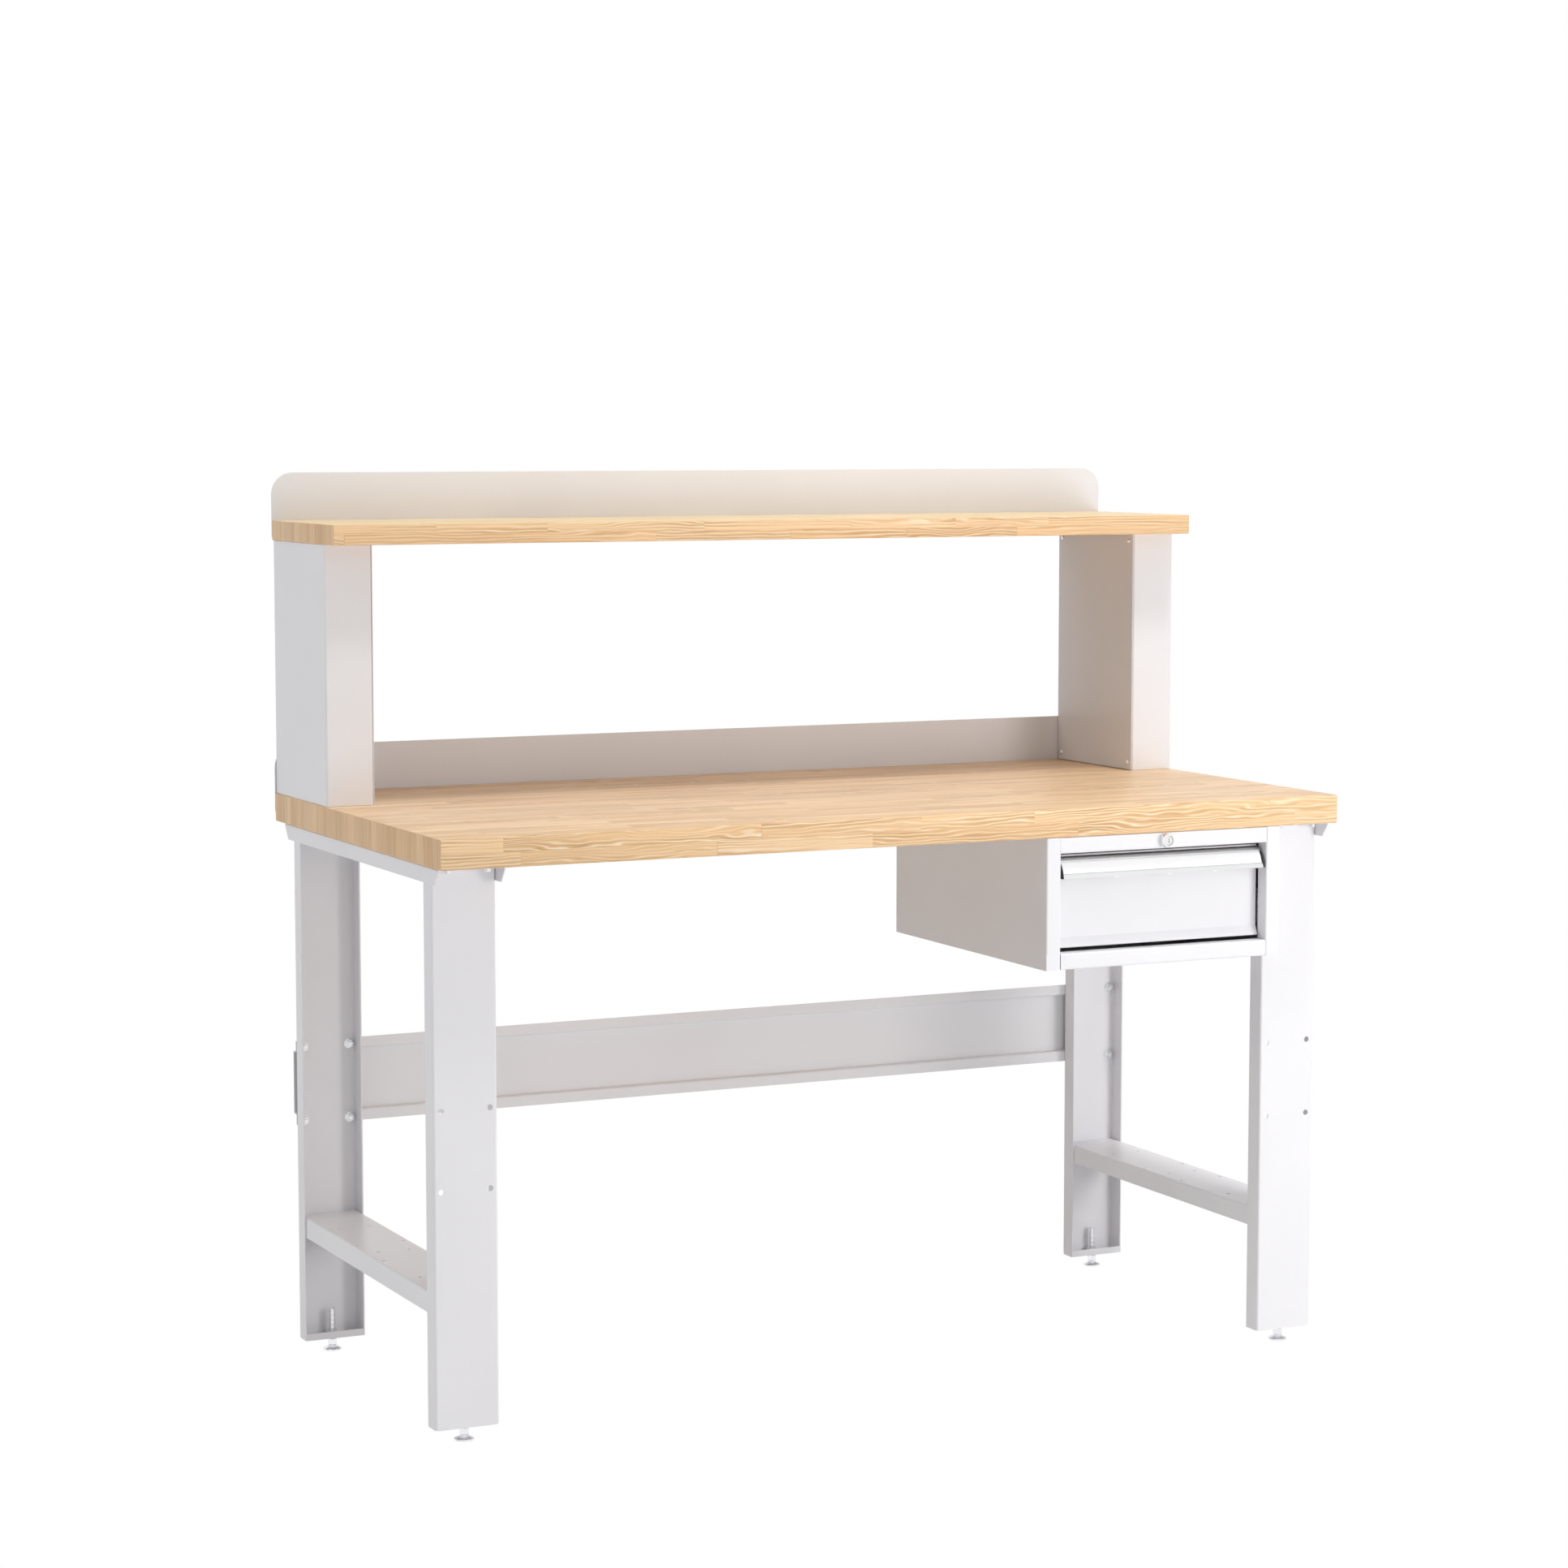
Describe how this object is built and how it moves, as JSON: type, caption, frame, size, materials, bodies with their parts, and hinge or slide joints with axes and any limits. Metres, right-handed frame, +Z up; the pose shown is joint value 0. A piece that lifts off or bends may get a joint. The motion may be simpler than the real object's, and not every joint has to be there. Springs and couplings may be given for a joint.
{
  "type": "workbench",
  "caption": "Laminated wooden worktop and riser shelf on folded sheet-metal legs, with a lockable drawer on telescopic slides under the right side",
  "frame": {"origin": "on the floor, under the middle of the bench's outline", "axes": "+X to the right along the worktop, +Y to the back, +Z up; the drawer opens towards -Y"},
  "size_m": [1.524, 0.7748, 1.4103],
  "materials": {
    "wood": "clear-lacquered laminated hardwood staves",
    "powder_coat": "light grey powder coat, fine orange peel",
    "zinc": "bright zinc plate",
    "aluminium": "satin anodised extrusion",
    "black_plastic": "moulded black plastic",
    "label": "blank white label strip"
  },
  "bodies": {
    "body": {"back_panel_lower": "powder_coat", "back_panel_upper": "powder_coat", "cabinet_floor": "powder_coat", "cabinet_lock_rail": "powder_coat", "cabinet_shell": "powder_coat", "leg_cross_member_left": "powder_coat", "leg_cross_member_right": "powder_coat", "leg_head_channel_left": "powder_coat", "leg_head_channel_right": "powder_coat", "leg_post_front_left": "powder_coat", "leg_post_front_right": "powder_coat", "leg_post_rear_left": "powder_coat", "leg_post_rear_right": "powder_coat", "lock_barrel": "zinc", "rear_stringer": "powder_coat", "riser_cover_left": "powder_coat", "riser_cover_right": "powder_coat", "riser_shelf": "wood", "riser_shell_left": "powder_coat", "riser_shell_right": "powder_coat", "slide_outer_left": "zinc", "slide_outer_right": "zinc", "slide_spacer_left": "zinc", "slide_spacer_right": "zinc", "stringer_bolt_left_1": "zinc", "stringer_bolt_left_2": "zinc", "stringer_bolt_left_3": "zinc", "stringer_bolt_left_4": "zinc", "stringer_bolt_right_1": "zinc", "stringer_bolt_right_2": "zinc", "stringer_bolt_right_3": "zinc", "stringer_bolt_right_4": "zinc", "worktop": "wood"},
    "drawer": {"drawer_front": "powder_coat", "drawer_handle": "aluminium", "drawer_tray": "powder_coat", "handle_cap_left": "black_plastic", "handle_cap_right": "black_plastic", "label_strip": "label", "slide_inner_left": "zinc", "slide_inner_right": "zinc"},
    "slide_middle_l": {"slide_middle_left": "zinc"},
    "slide_middle_r": {"slide_middle_right": "zinc"},
    "lock_turn": {"lock_plug": "zinc", "lock_cam": "zinc"},
    "foot_front_left": {"foot_pad_front_left": "zinc", "foot_stud_front_left": "zinc"},
    "foot_front_right": {"foot_pad_front_right": "zinc", "foot_stud_front_right": "zinc"},
    "foot_rear_left": {"foot_pad_rear_left": "zinc", "foot_stud_rear_left": "zinc"},
    "foot_rear_right": {"foot_pad_rear_right": "zinc", "foot_stud_rear_right": "zinc"}
  },
  "joints": [
    {"name": "drawer_slide", "type": "slide", "parent": "body", "child": "drawer", "axis": [0, -1, 0], "range_m": [0, 0.44]},
    {"name": "slide_middle_left", "type": "slide", "parent": "body", "child": "slide_middle_l", "axis": [0, -1, 0], "range_m": [0, 0.22]},
    {"name": "slide_middle_right", "type": "slide", "parent": "body", "child": "slide_middle_r", "axis": [0, -1, 0], "range_m": [0, 0.22]},
    {"name": "lock_turn", "type": "hinge", "parent": "body", "child": "lock_turn", "pos_m": [0.4421, -0.345, 0.8393], "axis": [0, -1, 0], "range_deg": [0, 90]},
    {"name": "foot_front_left_level", "type": "slide", "parent": "body", "child": "foot_front_left", "axis": [0, 0, -1], "range_m": [0, 0.018]},
    {"name": "foot_front_right_level", "type": "slide", "parent": "body", "child": "foot_front_right", "axis": [0, 0, -1], "range_m": [0, 0.018]},
    {"name": "foot_rear_left_level", "type": "slide", "parent": "body", "child": "foot_rear_left", "axis": [0, 0, -1], "range_m": [0, 0.018]},
    {"name": "foot_rear_right_level", "type": "slide", "parent": "body", "child": "foot_rear_right", "axis": [0, 0, -1], "range_m": [0, 0.018]}
  ],
  "couplings": [
    {"joint": "slide_middle_left", "follows": "drawer_slide", "ratio": 0.5},
    {"joint": "slide_middle_right", "follows": "drawer_slide", "ratio": 0.5}
  ]
}
